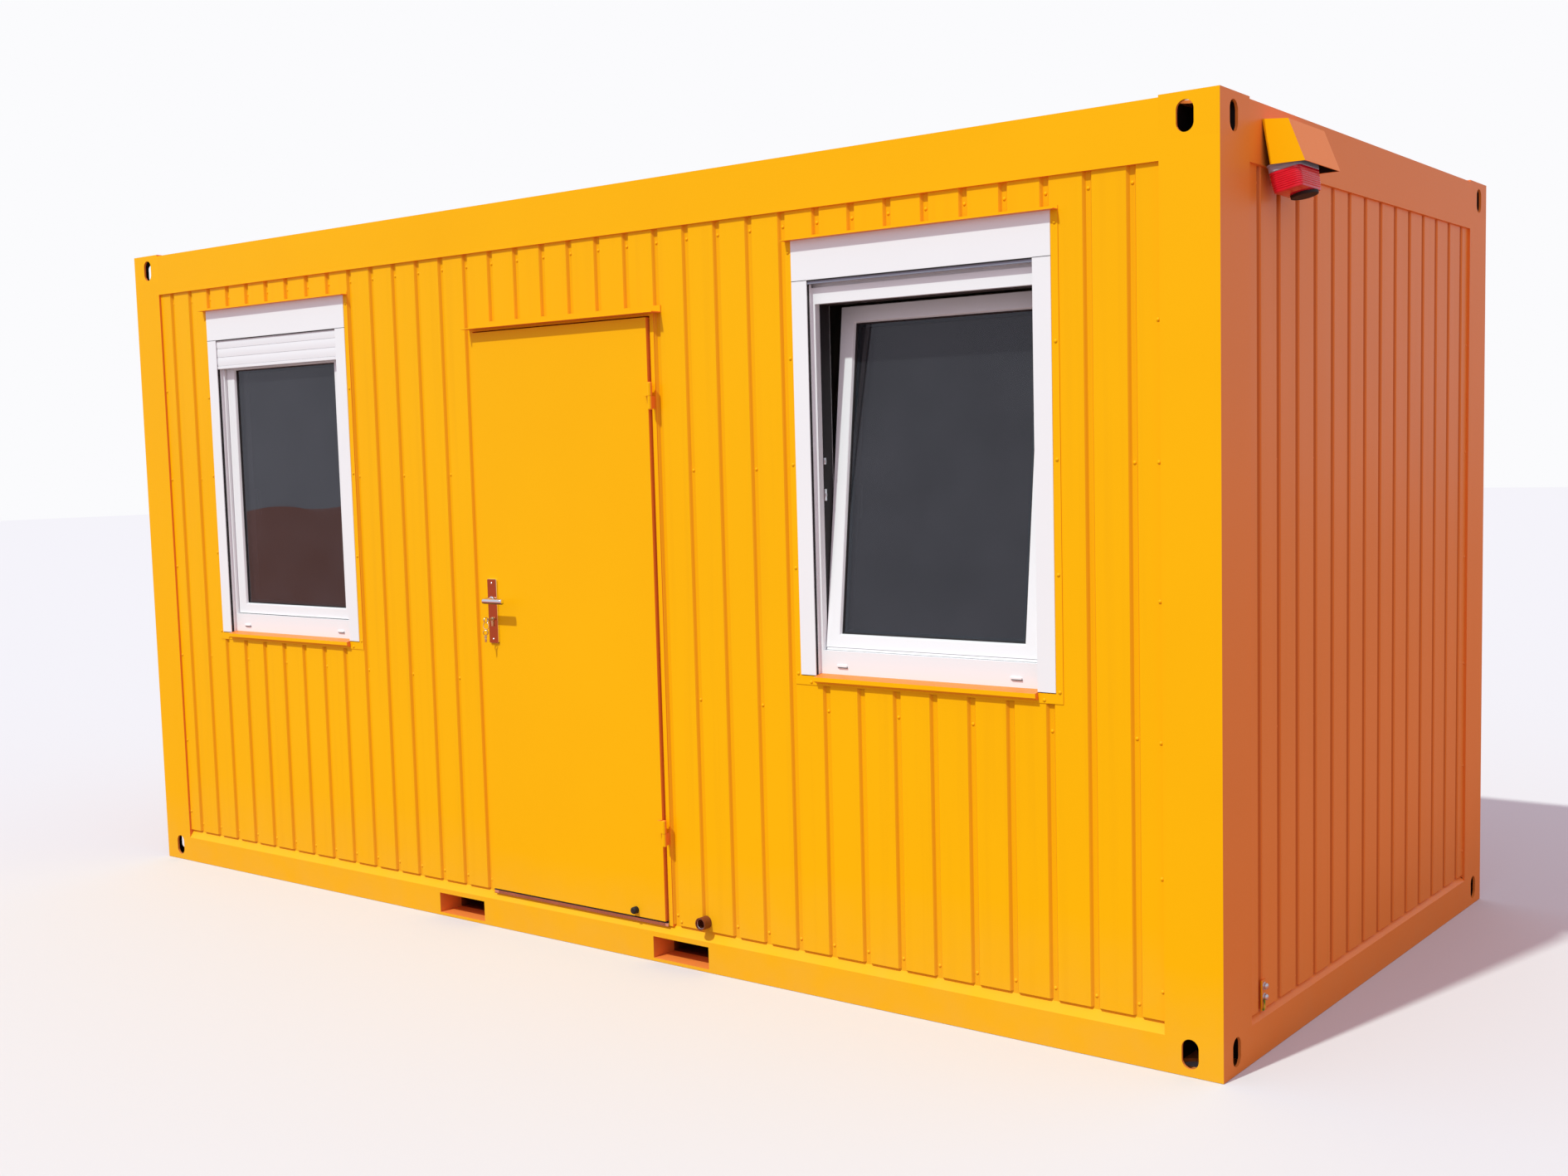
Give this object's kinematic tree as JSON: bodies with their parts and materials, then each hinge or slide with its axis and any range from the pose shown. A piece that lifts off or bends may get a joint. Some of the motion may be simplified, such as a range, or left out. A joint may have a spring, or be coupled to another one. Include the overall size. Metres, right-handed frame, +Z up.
{
  "type": "site cabin",
  "caption": "Steel-framed site cabin with profiled sheet walls, shuttered windows, an outward-opening door, fork pockets, an alarm lamp and corner castings.",
  "frame": {"origin": "middle of the base frame at ground level, on the underside of the cross-member at mid-length", "axes": "+X along the length towards the end with the alarm lamp, +Y from the door side to the back, +Z up"},
  "size_m": [5.109, 2.291, 2.591],
  "materials": {
    "orange_paint": "satin",
    "white_pvc": "satin",
    "grey_slats": "satin",
    "window_glass": "clear",
    "underframe_steel": "matte",
    "floor_board": "matte",
    "zinc_sheet": "matte",
    "white_board": "matte",
    "stainless_steel": "satin",
    "catch_plastic": "matte",
    "satin_metal": "satin",
    "key_metal": "satin",
    "black_rubber": "matte",
    "lamp_plastic": "matte",
    "red_lens": "gloss"
  },
  "bodies": {
    "cabin": {"corner_castings_bottom": "orange_paint", "corner_castings_top": "orange_paint", "corner_posts": "orange_paint", "base_rails_long": "orange_paint", "base_rails_ends": "orange_paint", "fork_pockets": "orange_paint", "floor_joists": "underframe_steel", "floor_deck": "floor_board", "top_rails_long": "orange_paint", "top_rails_ends": "orange_paint", "roof_sheet": "zinc_sheet", "ceiling": "white_board", "front_wall_left": "orange_paint", "front_wall_right": "orange_paint", "front_wall_over_door": "orange_paint", "back_wall": "orange_paint", "left_end_wall": "orange_paint", "right_end_wall": "orange_paint", "window_left_flashing": "orange_paint", "window_left_shutter": "white_pvc", "window_left_curtain": "grey_slats", "window_left_frame": "white_pvc", "window_left_sash": "white_pvc", "window_left_glass": "window_glass", "window_right_flashing": "orange_paint", "window_right_shutter": "white_pvc", "window_right_curtain": "grey_slats", "window_right_frame": "white_pvc", "window_right_sash": "white_pvc", "window_right_glass": "window_glass", "door_frame": "orange_paint", "door_threshold": "stainless_steel", "door_cap": "orange_paint", "door_hinges_fixed": "orange_paint", "door_catch": "catch_plastic", "alarm_hood": "orange_paint", "alarm_body": "lamp_plastic", "alarm_lens": "red_lens", "earth_lug": "orange_paint"},
    "door": {"door_leaf": "orange_paint", "door_hinges_moving": "orange_paint", "handle_plates": "satin_metal", "door_peg": "black_rubber", "lock_and_key": "key_metal"},
    "lever": {"door_lever": "satin_metal"}
  },
  "joints": [
    {"name": "door_swing", "type": "hinge", "parent": "cabin", "child": "door", "pos_m": [0.509, -1.1305, 1.17], "axis": [0, 0, 1], "range_deg": [0, 180]},
    {"name": "lever_turn", "type": "hinge", "parent": "door", "child": "lever", "pos_m": [-0.3005, -1.0915, 1.2], "axis": [0, 1, 0], "range_deg": [0, 40], "stiffness_Nm_per_rad": 1.5, "springref_deg": -20.05}
  ]
}
